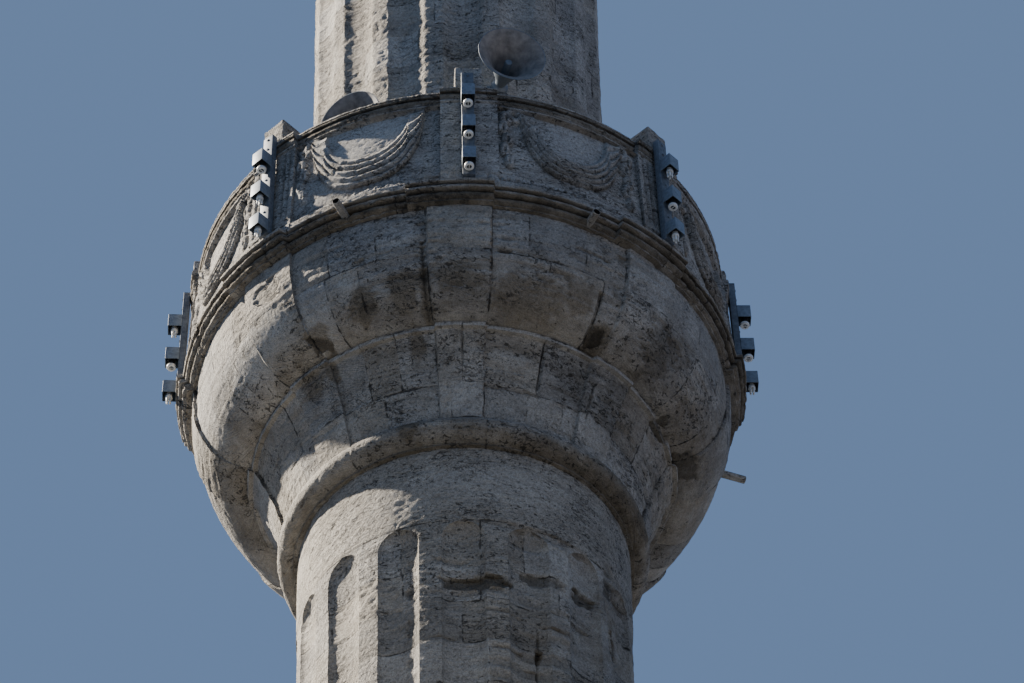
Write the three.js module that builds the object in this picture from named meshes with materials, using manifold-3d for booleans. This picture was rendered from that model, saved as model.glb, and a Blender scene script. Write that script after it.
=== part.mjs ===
// Balcony section of a fluted stone minaret: a stub of the lower shaft, the
// ring moulding, the two-tier corbelled bowl, the cornice and gallery floor, the
// parapet with its posts, lamps and loudspeaker horns, and a stub of the upper
// shaft with its doorway. Millimetres, +Z up, origin on the lower bed face.
// Azimuths are counted from -Y, the front, towards +X.
import * as THREE from 'three';
import { mergeVertices } from 'three/addons/utils/BufferGeometryUtils.js';
import Module from 'manifold-3d';

// Levels above the lower bed face
const RING_BASE = 2790;
const RING_MID = 2920;
const BOWL_FOOT = 3020;
const TIER = 3730;
const OVOLO_TOP = 4400;
const FLOOR_BASE = 4520;
const CORNICE_TOP = 4680;
const FOOT_BAND_TOP = 4740;
const FLOOR_TOP = 4750;
const RAIL_BASE = 5715;
const RAIL_STEP = 5765;
const RAIL_TOP = 5830;
const DOOR_TOP = 6600;
const UPPER_BED = 9600;

// Radii
const WELL_R = 800;
const LOWER_R = 1200;
const UPPER_R = 1130;
const RING_R = 1240;
const RING_ROLL = 100;
const CORNICE_R = 2070;
const PARAPET_INNER_R = 1830;
const FAR = 4000;

// Division round the axis
const SIDES = 8;
const FACETS = 48;
const FLUTES = 16;
const BAY = 360 / SIDES;
const RIB_HALF = 7;
const BREAK_HALF = 9;
const POST_HALF = 6;

// Flutes of the two shafts
const FLUTE_HALF = 7.5;
const FLUTE_DEPTH = 55;
const LOWER_FLUTE_TOP = 1888;
const UPPER_FLUTE_FOOT = 5250;

const RIB_PROUD = 28;
const BREAK_PROUD = 45;
const PARAPET_TURN = 2.4;
const JOINT = 0.3;
const DOOR_WIDTH = 660;
const SPOUT_R = 30;
const SPOUT_START = 1960;
const SPOUTS = [
  { azimuth: -24, end: 2165, level: 4590 },
  { azimuth: 28, end: 2115, level: 4560 },
  { azimuth: 111.5, end: 2270, level: 4640 },
  { azimuth: 158, end: 2220, level: 4620 },
  { azimuth: 202, end: 2220, level: 4620 },
];
const LAMP = { barWidth: 90, barDepth: 50, foot: 4715, head: 5950, hood: 100, hoodHeight: 135, tops: [4942, 5316, 5690] };
// How far each rack hangs to the right of its post's middle and below the highest place
const RACKS = [
  { right: -10, drop: 24 }, { right: -30, drop: 70 }, { right: -30, drop: 0 }, { right: 0, drop: 50 },
  { right: 0, drop: 50 }, { right: 0, drop: 50 }, { right: -60, drop: 115 }, { right: 12, drop: 82 },
];
const BULB_R = 33;
const STONE_CAP = { width: 200, depth: 180, height: 240, middle: 1925 };
const POST = { foot: 2062, faceFoot: 2050, faceHead: 2000, rail: 2030 };
const PANEL = { foot: 2050, faceFoot: 2022, faceHead: 1955, rail: 1982 };
const HORNS = [
  { name: 'horn_right', azimuth: 15, radius: 1600, level: 6800 },
  { name: 'horn_left', azimuth: -30, radius: 1600, level: 6240 },
];
const HORN_MOUTH_R = 260;
const HORN_DROOP = 8;

const STONE = new THREE.MeshStandardMaterial({ color: 0x96918a, roughness: 0.95, metalness: 0 });
const RACK_METAL = new THREE.MeshStandardMaterial({ color: 0x7c8790, roughness: 0.55, metalness: 0.3 });
const HORN_METAL = new THREE.MeshStandardMaterial({ color: 0x8b9092, roughness: 0.5, metalness: 0.2 });

const rad = THREE.MathUtils.degToRad;
const wasm = await Module();
wasm.setup();

// A closed geometry as a solid, and back
function solid(geometry) {
  const bare = new THREE.BufferGeometry();
  bare.setAttribute('position', geometry.getAttribute('position'));
  if (geometry.index) bare.setIndex(geometry.index);
  const merged = mergeVertices(bare, 1e-3);
  return new wasm.Manifold(new wasm.Mesh({
    numProp: 3,
    vertProperties: new Float32Array(merged.getAttribute('position').array),
    triVerts: new Uint32Array(merged.index.array),
  }));
}

function geometryOf(body) {
  const mesh = body.getMesh();
  const geometry = new THREE.BufferGeometry();
  geometry.setAttribute('position', new THREE.BufferAttribute(new Float32Array(mesh.vertProperties), 3));
  geometry.setIndex(new THREE.BufferAttribute(new Uint32Array(mesh.triVerts), 1));
  geometry.computeVertexNormals();
  return geometry;
}

// A ring turned about the axis from a closed [radius, level] outline, anticlockwise,
// with a flat facet centred on the front
function turned(outline, facets = FACETS) {
  const points = [...outline, outline[0]].map(([r, z]) => new THREE.Vector2(r, z));
  const ring = new THREE.LatheGeometry(points, facets, -Math.PI / facets);
  return solid(ring.rotateX(Math.PI / 2));
}

// A block between two azimuths, half a joint inside each
function wedge(from, to, low = -100, high = UPPER_BED + 100) {
  const middle = rad((from + to) / 2);
  const half = rad(to - from) / 2;
  const inset = JOINT / 2 / Math.sin(half);
  const apex = new THREE.Vector2(Math.sin(middle), -Math.cos(middle)).multiplyScalar(inset);
  const corner = (angle) => new THREE.Vector2(Math.sin(angle), -Math.cos(angle)).multiplyScalar(FAR).add(apex);
  const outline = new THREE.Shape([apex, corner(middle - half), corner(middle), corner(middle + half)]);
  const block = new THREE.ExtrudeGeometry(outline, { depth: high - low, bevelEnabled: false });
  return solid(block.translate(0, 0, low));
}

function box(width, depth, height, x, y, z) {
  return solid(new THREE.BoxGeometry(width, depth, height).translate(x, y, z));
}

// Places a geometry drawn at the front at another azimuth
const round = (geometry, azimuth) => geometry.rotateZ(rad(azimuth));

const joined = (bodies) => bodies.reduce((whole, body) => whole.add(body));

// Points of an arc in an outline
function arc(r, z, radius, from, to, steps) {
  return Array.from({ length: steps + 1 }, (_, i) => {
    const angle = rad(from + (to - from) * i / steps);
    return [r + radius * Math.cos(angle), z + radius * Math.sin(angle)];
  });
}

// One concave flute: a round bar with a domed end, sunk into the shaft's face
function flute(shaftR, azimuth, domeLevel, openLevel) {
  const halfChord = shaftR * Math.sin(rad(FLUTE_HALF));
  const rise = FLUTE_DEPTH - shaftR * (1 - Math.cos(rad(FLUTE_HALF)));
  const barR = (halfChord ** 2 + rise ** 2) / (2 * rise);
  const dome = [0, 12, 24, 36, 60, 90].map((a) => [barR * Math.cos(rad(a)), barR * Math.sin(rad(a))]);
  const length = Math.abs(openLevel - domeLevel);
  const points = [[0, -length], [barR, -length], ...dome].map(([r, z]) => new THREE.Vector2(Math.abs(r), z));
  points[points.length - 1].x = 0;
  const bar = new THREE.LatheGeometry(points, 24).rotateX(Math.PI / 2);
  if (openLevel > domeLevel) bar.rotateX(Math.PI);
  bar.translate(0, -(shaftR - FLUTE_DEPTH + barR), domeLevel);
  return solid(round(bar, azimuth));
}

function flutedShaft(shaftR, low, high, domeLevel, openLevel) {
  let shaft = turned([[WELL_R, low], [shaftR, low], [shaftR, high], [WELL_R, high]]);
  for (let i = 0; i < FLUTES; i++) {
    shaft = shaft.subtract(flute(shaftR, i * 360 / FLUTES, domeLevel, openLevel));
  }
  return shaft;
}

// The bowl's outer line, moved in by the depth that the bays lie back from the ribs
function bowlOutline(back) {
  const lower = [[1288, BOWL_FOOT], [1340, 3200], [1420, 3450], [1550, TIER]];
  const steps = 5;
  const ovolo = Array.from({ length: steps + 1 }, (_, i) => {
    const angle = rad(90 * i / steps);
    return [1600 + 390 * Math.sin(angle), TIER + (OVOLO_TOP - TIER) * (1 - Math.cos(angle))];
  });
  const face = [...lower, ...ovolo, [1990, FLOOR_BASE]].map(([r, z]) => [r - back, z]);
  return [[WELL_R, BOWL_FOOT], ...face, [WELL_R, FLOOR_BASE]];
}

function sectors(half) {
  return Array.from({ length: SIDES }, (_, i) => wedge(i * BAY - half, i * BAY + half));
}

const bowl = joined([
  turned(bowlOutline(RIB_PROUD)),
  ...sectors(RIB_HALF).map((block) => turned(bowlOutline(0)).intersect(block)),
]);

// Cornice mouldings at the edge of the floor slab; they break forward at the posts
function floorOutline(proud) {
  const edge = CORNICE_R + proud;
  return [
    [WELL_R, FLOOR_BASE], [edge - 80, FLOOR_BASE], [edge - 50, 4548], [edge - 50, 4584],
    [edge - 20, 4600], [edge - 20, 4640], [edge, 4652], [edge, CORNICE_TOP],
    [PARAPET_INNER_R - 15, CORNICE_TOP], [PARAPET_INNER_R - 15, FLOOR_TOP], [WELL_R, FLOOR_TOP],
  ];
}

// Drain spout: a pipe end that comes out of the cornice
function spout({ azimuth, end, level }) {
  const pipe = new THREE.CylinderGeometry(SPOUT_R, SPOUT_R, end - SPOUT_START, 10);
  return solid(round(pipe.translate(0, -(SPOUT_START + end) / 2, level), azimuth));
}

const gallery = joined([
  turned(floorOutline(0)),
  ...sectors(BREAK_HALF).map((block) => turned(floorOutline(BREAK_PROUD)).intersect(block)),
  ...SPOUTS.map(spout),
]);

// Outline of the parapet wall: foot band, leaning face and a rail of two fillets
function parapetOutline({ foot, faceFoot, faceHead, rail }) {
  return [
    [PARAPET_INNER_R, CORNICE_TOP], [foot, CORNICE_TOP], [foot, FOOT_BAND_TOP],
    [faceFoot, FOOT_BAND_TOP + 8], [faceHead, RAIL_BASE], [rail - 13, RAIL_BASE],
    [rail - 13, RAIL_STEP], [rail, RAIL_STEP], [rail, RAIL_TOP], [PARAPET_INNER_R, RAIL_TOP],
  ];
}

function post(azimuth) {
  const shaft = turned(parapetOutline(POST)).intersect(wedge(azimuth - POST_HALF, azimuth + POST_HALF));
  const { width, depth, height, middle } = STONE_CAP;
  const cap = new THREE.BoxGeometry(width, depth, height + 2).translate(0, -middle, RAIL_TOP + height / 2 - 1);
  return shaft.add(solid(round(cap, azimuth)));
}

function panel(azimuth) {
  const half = BAY / 2 - POST_HALF;
  return turned(parapetOutline(PANEL)).intersect(wedge(azimuth - half, azimuth + half));
}

// Lamp rack: a flat bar that bears on the rail and the foot band of its post,
// with three box hoods and a bulb under each
function lampRack(azimuth, { right, drop }) {
  const flat = Math.cos(Math.PI / FACETS);
  const low = POST.foot * flat + JOINT;
  const high = POST.rail * flat + JOINT;
  const lean = Math.atan((low - high) / (RAIL_TOP - FOOT_BAND_TOP));
  const place = (geometry) => {
    geometry.translate(right, 0, -FOOT_BAND_TOP).rotateX(-lean).translate(0, -low, FOOT_BAND_TOP);
    return solid(round(geometry, azimuth));
  };
  const barLength = LAMP.head - drop - LAMP.foot;
  const bar = new THREE.BoxGeometry(LAMP.barWidth, LAMP.barDepth, barLength);
  const parts = [place(bar.translate(0, -LAMP.barDepth / 2, LAMP.foot + barLength / 2))];
  const hoodY = -LAMP.barDepth - LAMP.hood / 2;
  for (const top of LAMP.tops.map((level) => level - drop)) {
    const hood = new THREE.BoxGeometry(LAMP.hood, LAMP.hood + 4, LAMP.hoodHeight);
    parts.push(place(hood.translate(0, hoodY + 2, top - LAMP.hoodHeight / 2)));
    const bulbLine = [[0, -2.1], [0.7, -1.9], [1, -1.1], [0.5, -0.2], [0.5, 0.15], [0, 0.15]]
      .map(([r, z]) => new THREE.Vector2(r * BULB_R, z * BULB_R));
    const bulb = new THREE.LatheGeometry(bulbLine, 6).rotateX(Math.PI / 2);
    parts.push(place(bulb.translate(0, hoodY, top - LAMP.hoodHeight)));
  }
  return joined(parts);
}

const lowerShaft = flutedShaft(LOWER_R, 0, RING_BASE, LOWER_FLUTE_TOP, -100);
const upperShaft = flutedShaft(UPPER_R, FLOOR_TOP, UPPER_BED, UPPER_FLUTE_FOOT, UPPER_BED + 100);

// Loudspeaker horn: a flared bell round a central tube, its driver behind, and
// a bracket that ends against the shaft's fluted face
function horn({ azimuth, radius, level }) {
  const line = [
    [0, -430], [62, -430], [62, -345], [38, -335], [48, -300], [80, -230], [118, -150], [165, -80],
    [215, -25], [HORN_MOUTH_R - 2, 0], [HORN_MOUTH_R, 6], [HORN_MOUTH_R - 4, 7], [211, -18], [160, -74],
    [112, -146], [74, -226], [42, -292], [30, -292], [30, -95], [18, -84], [0, -82],
  ].map(([r, y]) => new THREE.Vector2(r, y));
  const bell = new THREE.LatheGeometry(line, 16).rotateX(Math.PI).rotateX(rad(HORN_DROOP));
  bell.translate(0, -radius, level);
  const driverLevel = level + 390 * Math.sin(rad(HORN_DROOP));
  const arm = new THREE.BoxGeometry(70, 190, 80).translate(0, -1150, driverLevel);
  const plate = new THREE.BoxGeometry(150, 60, 170).translate(0, -1125, driverLevel);
  const fit = 1 + JOINT / UPPER_R;
  const mount = solid(round(arm, azimuth)).add(solid(round(plate, azimuth)));
  return solid(round(bell, azimuth)).add(mount.subtract(upperShaft.scale([fit, fit, 1])));
}

const group = new THREE.Group();
group.name = 'minaret_balcony_section';

function addMesh(name, body, material) {
  const mesh = new THREE.Mesh(geometryOf(body), material.clone());
  mesh.name = name;
  group.add(mesh);
}

// Four quarters of a ring, each starting where the one before ends
const QUARTER_NAMES = ['front', 'right', 'back', 'left'];
function addQuarters(name, body, firstEdge) {
  QUARTER_NAMES.forEach((side, i) => {
    const from = firstEdge + 90 * i;
    addMesh(`${name}_${side}`, body.intersect(wedge(from, from + 90)), STONE);
  });
}

addQuarters('lower_shaft', lowerShaft, -56.25);
addMesh('ring_moulding', turned([
  [WELL_R, RING_BASE], [1228, RING_BASE], [1228, 2821],
  ...arc(RING_R, RING_MID, RING_ROLL, -90, 90, 6), [WELL_R, BOWL_FOOT],
]), STONE);
addQuarters('bowl', bowl, -67.5);
addQuarters('gallery_floor', gallery, -78.75);

// The parapet stands turned a little from the ribs below
const onParapet = (body) => body.rotate([0, 0, PARAPET_TURN]);
for (let i = 0; i < SIDES; i++) {
  addMesh(`parapet_post_${i + 1}`, onParapet(post(i * BAY)), STONE);
  addMesh(`parapet_panel_${i + 1}`, onParapet(panel((i + 0.5) * BAY)), STONE);
  addMesh(`lamp_rack_${i + 1}`, onParapet(lampRack(i * BAY, RACKS[i])), RACK_METAL);
}

// The upper shaft: three whole quarters, and the back one split round the doorway
const sides = { front: -56.25, right: 33.75, left: 213.75 };
for (const [side, from] of Object.entries(sides)) {
  addMesh(`upper_shaft_${side}`, upperShaft.intersect(wedge(from, from + 90)), STONE);
}
const back = upperShaft.intersect(wedge(123.75, 213.75));
const storey = DOOR_TOP - FLOOR_TOP;
const doorway = box(DOOR_WIDTH, FAR / 2, storey, 0, FAR / 4, FLOOR_TOP + storey / 2);
const below = back.intersect(box(FAR, FAR, storey, 0, 0, FLOOR_TOP + storey / 2)).subtract(doorway);
addMesh('upper_shaft_over_doorway', back.subtract(box(FAR, FAR, storey, 0, 0, FLOOR_TOP + storey / 2)), STONE);
addMesh('doorway_jamb_right', below.intersect(box(FAR, FAR, storey, FAR / 2, 0, FLOOR_TOP + storey / 2)), STONE);
addMesh('doorway_jamb_left', below.intersect(box(FAR, FAR, storey, -FAR / 2, 0, FLOOR_TOP + storey / 2)), STONE);

for (const place of HORNS) addMesh(place.name, horn(place), HORN_METAL);

export default group;
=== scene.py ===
"""Balcony section of a fluted stone minaret, dressed for rendering.

Metres, +Z up, the front is -Y. Azimuths are in degrees from the front towards +X.
"""

import random
from functools import partial
from itertools import product
from math import acos, asin, atan, ceil, cos, degrees, hypot, pi, radians, sin

import bmesh
import bpy
import numpy as np
from mathutils import Matrix, Vector


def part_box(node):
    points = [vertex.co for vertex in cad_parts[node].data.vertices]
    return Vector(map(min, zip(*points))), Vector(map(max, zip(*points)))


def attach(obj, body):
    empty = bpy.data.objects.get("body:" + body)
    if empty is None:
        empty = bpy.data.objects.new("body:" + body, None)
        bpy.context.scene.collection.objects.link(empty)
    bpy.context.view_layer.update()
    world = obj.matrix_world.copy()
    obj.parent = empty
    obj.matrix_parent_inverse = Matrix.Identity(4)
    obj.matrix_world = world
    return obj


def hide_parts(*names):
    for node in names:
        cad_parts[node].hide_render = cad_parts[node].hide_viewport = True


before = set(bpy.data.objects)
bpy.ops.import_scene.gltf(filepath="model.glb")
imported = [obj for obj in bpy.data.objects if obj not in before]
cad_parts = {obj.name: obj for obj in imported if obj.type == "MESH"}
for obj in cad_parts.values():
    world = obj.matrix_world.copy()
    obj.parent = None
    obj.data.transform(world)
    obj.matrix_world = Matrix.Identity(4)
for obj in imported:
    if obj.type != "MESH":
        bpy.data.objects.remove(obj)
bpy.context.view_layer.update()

BODY = "root"
QUARTERS = ("front", "right", "back", "left")
SIDES = 8
BAY = 360 / SIDES

# Levels that the frame gives
RING_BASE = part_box("ring_moulding")[0].z
BOWL_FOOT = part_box("bowl_front")[0].z
FLOOR_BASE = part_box("gallery_floor_front")[0].z
FLOOR_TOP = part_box("gallery_floor_front")[1].z
CORNICE_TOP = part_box("parapet_panel_1")[0].z
RAIL_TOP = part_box("parapet_panel_1")[1].z
CAP_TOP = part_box("parapet_post_1")[1].z
DOOR_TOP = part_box("upper_shaft_over_doorway")[0].z
UPPER_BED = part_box("upper_shaft_front")[1].z

# Levels inside the pieces
RING_MIDDLE = 2.92
TIER = 3.73
OVOLO_TOP = 4.4
FOOT_BAND_TOP = 4.74
LOWER_FLUTE_HEAD = 1.888
UPPER_FLUTE_FOOT = 5.25

# Radii
WELL_R = 0.8
LOWER_R = 1.2
UPPER_R = 1.13
RING_R = 1.24
RING_ROLL = 0.1
TIER_R = 1.6
BOWL_R = 1.99
CORNICE_R = 2.07
PARAPET_INNER_R = 1.83

# Division and relief
FLUTE_PITCH = 22.5
FLUTE_HALF = 7.5
FLUTE_DEPTH = 0.055
RIB_HALF = 7
RIB_PROUD = 0.028
BREAK_HALF = 9
BREAK_PROUD = 0.045
BREAK_TURN = -1.6
PARAPET_TURN = 2.4
POST_HALF = 6
PANEL_HALF = BAY / 2 - POST_HALF
DOOR_HALF_WIDTH = 0.33

# Spacing of the stone's mesh
FINE = 0.016
COARSE = 0.3

# Depth of wear, with the grooves' painted shade, that the material takes as 1
WORN_UNIT = 0.02


def linear(code):
    """An sRGB hex colour as linear RGBA"""
    channels = [int(code[i:i + 2], 16) / 255 for i in (1, 3, 5)]
    return (*[c / 12.92 if c <= 0.04045 else ((c + 0.055) / 1.055) ** 2.4 for c in channels], 1)


def smooth(low, high, value):
    """0 up to low, 1 from high, and an even turn between them"""
    t = np.clip((value - low) / (high - low), 0, 1)
    return t * t * (3 - 2 * t)


def at(azimuth, radius, level):
    angle = radians(azimuth)
    return Vector((radius * sin(angle), -radius * cos(angle), level))


def places(azimuth, radius, level):
    """The points of at() for whole meshes"""
    angle = np.radians(azimuth)
    return np.stack([radius * np.sin(angle), -radius * np.cos(angle), level], axis=1)


def from_nearest(azimuth, pitch):
    """Degrees from the nearest multiple of the pitch"""
    return (azimuth + pitch / 2) % pitch - pitch / 2


def divided(points, step):
    """The points of a broken line with others between them, without the last one"""
    line = []
    for (r0, z0), (r1, z1) in zip(points, points[1:]):
        count = max(1, ceil(hypot(r1 - r0, z1 - z0) / step))
        line += [(r0 + (r1 - r0) * i / count, z0 + (z1 - z0) * i / count) for i in range(count)]
    return line


def turned(outline, columns, start=0, sweep=360, sectors=1):
    """A ring, or a part of one with closed ends, spun from a closed (radius, level)
    outline. A spin slows down with the square of its steps, so a fine ring is one
    sector's spin, repeated."""
    bm = bmesh.new()
    verts = [bm.verts.new(at(start, r, z)) for r, z in outline]
    edges = [bm.edges.new((a, b)) for a, b in zip(verts, verts[1:] + verts[:1])]
    step = radians(sweep / sectors)
    bmesh.ops.spin(
        bm, geom=verts + edges, cent=(0, 0, 0), axis=(0, 0, 1), angle=step,
        steps=columns // sectors, use_merge=sweep / sectors == 360,
    )
    sector = bpy.data.meshes.new("sector")
    bm.to_mesh(sector)
    for _ in range(1, sectors):
        sector.transform(Matrix.Rotation(step, 4, "Z"))
        bm.from_mesh(sector)
    bpy.data.meshes.remove(sector)
    bmesh.ops.remove_doubles(bm, verts=bm.verts, dist=1e-5)
    if sweep < 360:
        bmesh.ops.holes_fill(bm, edges=[edge for edge in bm.edges if edge.is_boundary], sides=0)
    bmesh.ops.recalc_face_normals(bm, faces=bm.faces)
    return bm


def closed(face, step, inner=WELL_R, back_step=COARSE):
    """A wall's outline: its outer face from foot to head, then its coarse back"""
    (foot_r, foot), (head_r, head) = face[0], face[-1]
    back = [(head_r, head), (inner, head), (inner, foot), (foot_r, foot)]
    return divided(face, step) + divided(back, back_step)


def box(low, high, bevel):
    bm = bmesh.new()
    bmesh.ops.create_cube(bm, size=1)
    bmesh.ops.scale(bm, vec=[b - a for a, b in zip(low, high)], verts=bm.verts)
    bmesh.ops.translate(bm, vec=[(a + b) / 2 for a, b in zip(low, high)], verts=bm.verts)
    edges = bm.edges[:]
    bmesh.ops.bevel(bm, geom=edges, offset=bevel, segments=2, profile=0.5, affect="EDGES", material=-1)
    return bm


def rotation(angle, axis="Z"):
    return Matrix.Rotation(radians(angle), 4, axis)


def shift(x, y, z):
    return Matrix.Translation((x, y, z))


# Turns what points up to the front
TO_FRONT = rotation(90, "X")


def mesh_of(bm, name):
    """The bmesh as a mesh"""
    mesh = bpy.data.meshes.new(name)
    bm.to_mesh(mesh)
    bm.free()
    return mesh


def in_scene(name, data):
    made = bpy.data.objects.new(name, data)
    bpy.context.scene.collection.objects.link(made)
    return made


def add(bm, part, matrix=None, index=0, lining=(), lining_index=0):
    """Joins a part into bm, moved by the matrix, with a material index, and with
    another for the faces of its lining"""
    if matrix is not None:
        part.transform(matrix)
    for face in part.faces:
        face.material_index = index
    for face in lining:
        face.material_index = lining_index
    mesh = mesh_of(part, "part")
    bm.from_mesh(mesh)
    bpy.data.meshes.remove(mesh)


def piece(mesh, name, materials, nodes, smooth_angle):
    """The mesh as a piece that rides on the body and stands for its CAD nodes"""
    for made in materials:
        mesh.materials.append(made)
    mesh.shade_smooth()
    mesh.set_sharp_from_angle(angle=radians(smooth_angle))
    made = in_scene(name, mesh)
    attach(made, BODY)
    if nodes:
        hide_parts(*nodes)


def fitting(bm, name, materials, nodes=(), smooth_angle=40):
    """A metal or plastic piece straight from its bmesh"""
    piece(mesh_of(bm, name), name, materials, nodes, smooth_angle)


# Weather

CHANCE = np.random.default_rng(1830)
SHUFFLED = np.tile(CHANCE.permutation(256), 3)
SLOPES = CHANCE.normal(size=(256, 3))
SLOPES /= np.linalg.norm(SLOPES, axis=1)[:, None]


def lumps(points, size, octaves=1):
    """Smooth noise from about -1 to 1, in lumps of the given size in metres"""
    total = np.zeros(len(points))
    strength = 1.7
    place = points / np.array(size) + 31.7
    for _ in range(octaves):
        cell = np.floor(place)
        part = place - cell
        x, y, z = cell.astype(int).T % 256
        fade = part ** 3 * (part * (part * 6 - 15) + 10)
        for corner in product((0, 1), repeat=3):
            i, j, k = corner
            slope = SLOPES[SHUFFLED[SHUFFLED[SHUFFLED[x + i] + y + j] + z + k]]
            weight = np.prod(np.where(corner, fade, 1 - fade), axis=1)
            total += strength * weight * np.sum(slope * (part - corner), axis=1)
        strength /= 2
        place = place * 2.03 + 5.3
    return total


def bedding(points, depth):
    """How far the soft layers of the stone have worn back"""
    drifted = points + np.array([0, 0, 1]) * (0.035 * lumps(points, 0.8))[:, None]
    layer = lumps(drifted, (0.7, 0.7, 0.075), 2)
    patch = smooth(-0.35, 0.35, lumps(points, 0.7, 2))
    return depth * patch * smooth(-0.1, 0.22, layer)


def pocked(points, depth):
    """How deep the pits and spalls of the weather are"""
    patch = smooth(-0.05, 0.35, lumps(points + 9, 0.5, 2))
    pit = smooth(0.1, 0.5, lumps(points, (0.06, 0.06, 0.042), 3))
    return depth * patch * pit


def tooled(points, depth):
    """The uneven face that the mason's point left, in lumps of 30 to 60 mm"""
    return depth * (0.5 + 0.5 * lumps(points, (0.055, 0.055, 0.04), 3))


def weathered(points, layers, pits, marks):
    """How much soft layers, pits and the mason's marks take off together"""
    return bedding(points, layers) + pocked(points, pits) + tooled(points, marks)


# Mask of the grooves' levels, for the painted shade in them
def shaded_grooves(level, grooves, low, high):
    """1 at the grooves' levels, less from low and 0 from high away"""
    away = np.min([np.abs(level - groove) for groove in grooves], axis=0)
    return 1 - smooth(low, high, away)


def marked(points, azimuth, radius, level, spots, frayed, power, full, none):
    """How much the spots reach here: all of it up to full, nothing from none on"""
    most = np.zeros(len(points))
    for spot_azimuth, spot_level, half_width, half_height, strength in spots:
        across = np.abs(np.radians(from_nearest(azimuth - spot_azimuth, 360)) * radius / half_width)
        up = np.abs(level - spot_level) / half_height
        away = (across ** power + up ** power) ** (1 / power) + frayed
        most = np.maximum(most, strength * (1 - smooth(full, none, away)))
    return most


def near(points, azimuth, radius, level, spots):
    """How much the soft-edged round spots reach here"""
    return marked(points, azimuth, radius, level, spots, 0.3 * lumps(points, 0.09, 3), 2, 0.55, 1.25)


def scarred(points, azimuth, radius, level, scars):
    """How deep the broken-out places are, with steep frayed edges"""
    frayed = 0.35 * lumps(points, (0.1, 0.1, 0.05), 3)
    return marked(points, azimuth, radius, level, scars, frayed, 4, 0.9, 1.07)


# Masonry

def values_of(items, name, kind=float, width=1):
    """A value or vector of each vertex, loop or polygon, in one row"""
    values = np.empty(len(items) * width, kind)
    items.foreach_get(name, values)
    return values


class Coursing:
    """The beds and upright joints of a round wall.

    Laid on a mesh as a UV map that counts blocks round the wall and courses
    upwards, so that every joint is a whole number, and as a map of block sizes.
    """

    def __init__(self, beds, joints, uneven=0.0):
        self.beds = np.array(beds)
        self.joints = [np.array(row) for row in joints]
        self.uneven = uneven

    def course(self, level):
        return np.clip(np.searchsorted(self.beds, level, side="right") - 1, 0, len(self.beds) - 2)

    def blocks(self, azimuth, course):
        """Number of each place's block, and how many degrees it starts and ends at"""
        block = np.zeros(len(azimuth), int)
        start = np.zeros(len(azimuth))
        end = np.ones(len(azimuth))
        for number, joints in enumerate(self.joints):
            here = course == number
            found = np.searchsorted(joints, azimuth[here], side="right") - 1
            block[here] = np.clip(found, 0, len(joints) - 2)
            start[here] = joints[block[here]]
            end[here] = joints[block[here] + 1]
        return block, start, end

    def step(self, azimuth, level):
        """How far the block at each place stands back from the wall's face"""
        course = self.course(level)
        block = self.blocks(azimuth, course)[0]
        return self.uneven * SHUFFLED[(block * 7 + course * 29) % 256] / 255

    def lay(self, mesh):
        first = values_of(mesh.polygons, "loop_start", int)
        count = values_of(mesh.polygons, "loop_total", int)
        vertex = values_of(mesh.loops, "vertex_index", int)
        x, y, level = values_of(mesh.vertices, "co", width=3).reshape(-1, 3)[vertex].T
        face = np.repeat(np.arange(len(first)), count)
        azimuth = np.degrees(np.arctan2(x, -y))
        azimuth -= 360 * np.round((azimuth - azimuth[first][face]) / 360)
        middle = np.add.reduceat(azimuth, first) / count
        course = self.course(np.add.reduceat(level, first) / count)
        block, start, end = self.blocks(from_nearest(middle, 360), course)
        turn = (middle - from_nearest(middle, 360))[face]
        along = block[face] + (azimuth - turn - start[face]) / (end - start)[face]
        height = (self.beds[course + 1] - self.beds[course])[face]
        up = course[face] + (level - self.beds[course][face]) / height
        width = np.radians(end - start)[face] * np.hypot(x, y)
        for name, data in (("masonry", (along, up)), ("block_size", (width, height))):
            layer = mesh.uv_layers.new(name=name)
            layer.data.foreach_set("uv", np.stack(data, axis=1).ravel())


def random_joints(courses, width, seed):
    """Upright joints from -180 to 180 degrees at about the given spacing, course by course"""
    chance = random.Random(seed)
    rows = []
    for _ in range(courses):
        count = round(360 / width)
        cuts = [-180 + (i + chance.uniform(-0.28, 0.28)) * 360 / count for i in range(1, count)]
        rows.append([-180, *cuts, 180])
    return rows


def stonework(bm, name, material, shape, coursing, nodes, turn=0.0, outer=1.0,
              stain=(), pale=(), scars=(), smooth_angle=40):
    """Turns the bmesh by turn degrees, gives its outer face the shape and its
    weather, lays the joints and makes the piece. The wear with the grooves' painted shade, the stains
    and the washed places, a few of them painted patches of light, are kept as attributes for the
    material."""
    mesh = mesh_of(bm, name)
    x, y, level = values_of(mesh.vertices, "co", width=3).reshape(-1, 3).T
    azimuth = np.degrees(np.arctan2(x, -y)) + turn
    radius = np.hypot(x, y)
    seen = radius > outer
    moved = [azimuth.copy(), radius.copy(), level.copy()]
    *face, wear_and_groove_shade = shape(azimuth[seen], radius[seen], level[seen])
    points = places(*face)
    washed = near(points, *face, pale)
    wear_and_groove_shade = wear_and_groove_shade * (1 - 0.75 * washed) + scarred(points, *face, scars)
    face[1] = face[1] - wear_and_groove_shade - coursing.step(from_nearest(face[0], 360), face[2])
    for values, new in zip(moved, face):
        values[seen] = new
    mesh.vertices.foreach_set("co", places(*moved).ravel())
    stained = near(points, *face, stain)
    for layer, value in (("stain", stained), ("pale", washed), ("wear_and_groove_shade", wear_and_groove_shade / WORN_UNIT)):
        paint = np.zeros(len(mesh.vertices))
        paint[seen] = value
        mesh.attributes.new(layer, "FLOAT", "POINT").data.foreach_set("value", paint)
    coursing.lay(mesh)
    piece(mesh, name, [material], nodes, smooth_angle)


# Shafts

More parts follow.
